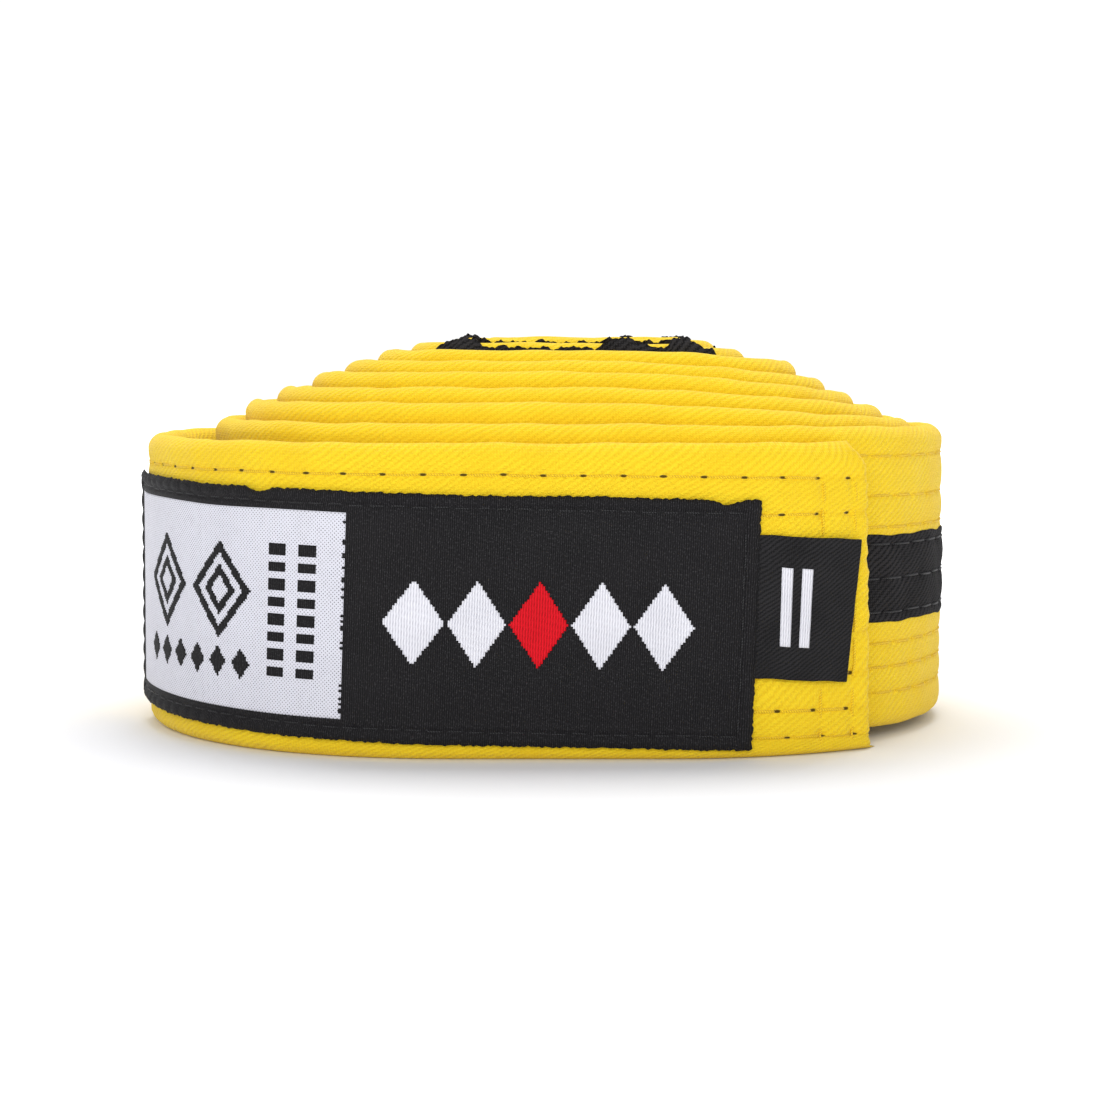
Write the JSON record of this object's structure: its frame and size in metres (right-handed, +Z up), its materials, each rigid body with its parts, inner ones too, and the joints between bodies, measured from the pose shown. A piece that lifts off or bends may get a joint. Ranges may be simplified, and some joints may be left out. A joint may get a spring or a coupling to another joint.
{
  "type": "rolled martial arts belt",
  "caption": "Yellow cotton martial arts belt with a black centre stripe, rolled into an oval coil on its edge, with a sewn label, size tag and black rank bar.",
  "frame": {"origin": "under the middle of the coil, on the surface that it rests on", "axes": "+Z up, +X along the long side of the oval, the label faces -Y"},
  "size_m": [0.1126, 0.0876, 0.0534],
  "materials": {
    "yellow_cotton": "bright yellow cotton twill, matt",
    "ply_cotton": "undyed cotton plies, hidden inside the cover",
    "black_tape": "black cotton tape, matt",
    "yellow_thread": "yellow sewing thread",
    "black_thread": "black sewing thread",
    "black_cotton": "black cotton twill, matt",
    "label_black": "black woven label yarn with a satin sheen",
    "label_white": "white woven label yarn with a satin sheen",
    "label_red": "red woven label yarn with a satin sheen",
    "tag_black": "black woven tape of fine twill",
    "tag_white": "white woven yarn"
  },
  "bodies": {
    "coil": {"cover_coil": "yellow_cotton", "ply_outer_coil": "ply_cotton", "ply_inner_coil": "ply_cotton", "stripe_outer_coil": "black_tape", "stripe_inner_coil": "black_tape", "stitch_lower_coil": "yellow_thread", "stitch_stripe_coil": "black_thread", "stitch_upper_coil": "yellow_thread", "rank_bar_outer": "black_cotton", "rank_bar_inner": "black_cotton", "rank_bar_stitching": "black_thread", "inner_end_stitching": "yellow_thread"},
    "tail": {"cover_tail": "yellow_cotton", "ply_outer_tail": "ply_cotton", "ply_inner_tail": "ply_cotton", "stripe_outer_tail": "black_tape", "stripe_inner_tail": "black_tape", "stitch_lower_tail": "yellow_thread", "stitch_stripe_tail": "black_thread", "stitch_upper_tail": "yellow_thread", "tail_end_stitching": "yellow_thread", "label_ground": "label_black", "label_hem": "label_black", "label_panel": "label_white", "label_marks": "label_black", "label_band_white": "label_white", "label_band_red": "label_red", "label_stitching": "black_thread", "size_tag_root": "tag_black"},
    "tag": {"size_tag_back": "tag_black", "size_tag_front": "tag_black", "size_tag_marks": "tag_white"}
  },
  "joints": [
    {"name": "tail_peel", "type": "hinge", "parent": "coil", "child": "tail", "pos_m": [-0.05722, 0.00043, 0.02], "axis": [0, 0, -1], "range_deg": [0, 45]},
    {"name": "tag_flip", "type": "hinge", "parent": "tail", "child": "tag", "pos_m": [0.02681, -0.04084, 0.0185], "axis": [0, 0, -1], "range_deg": [0, 160]}
  ]
}
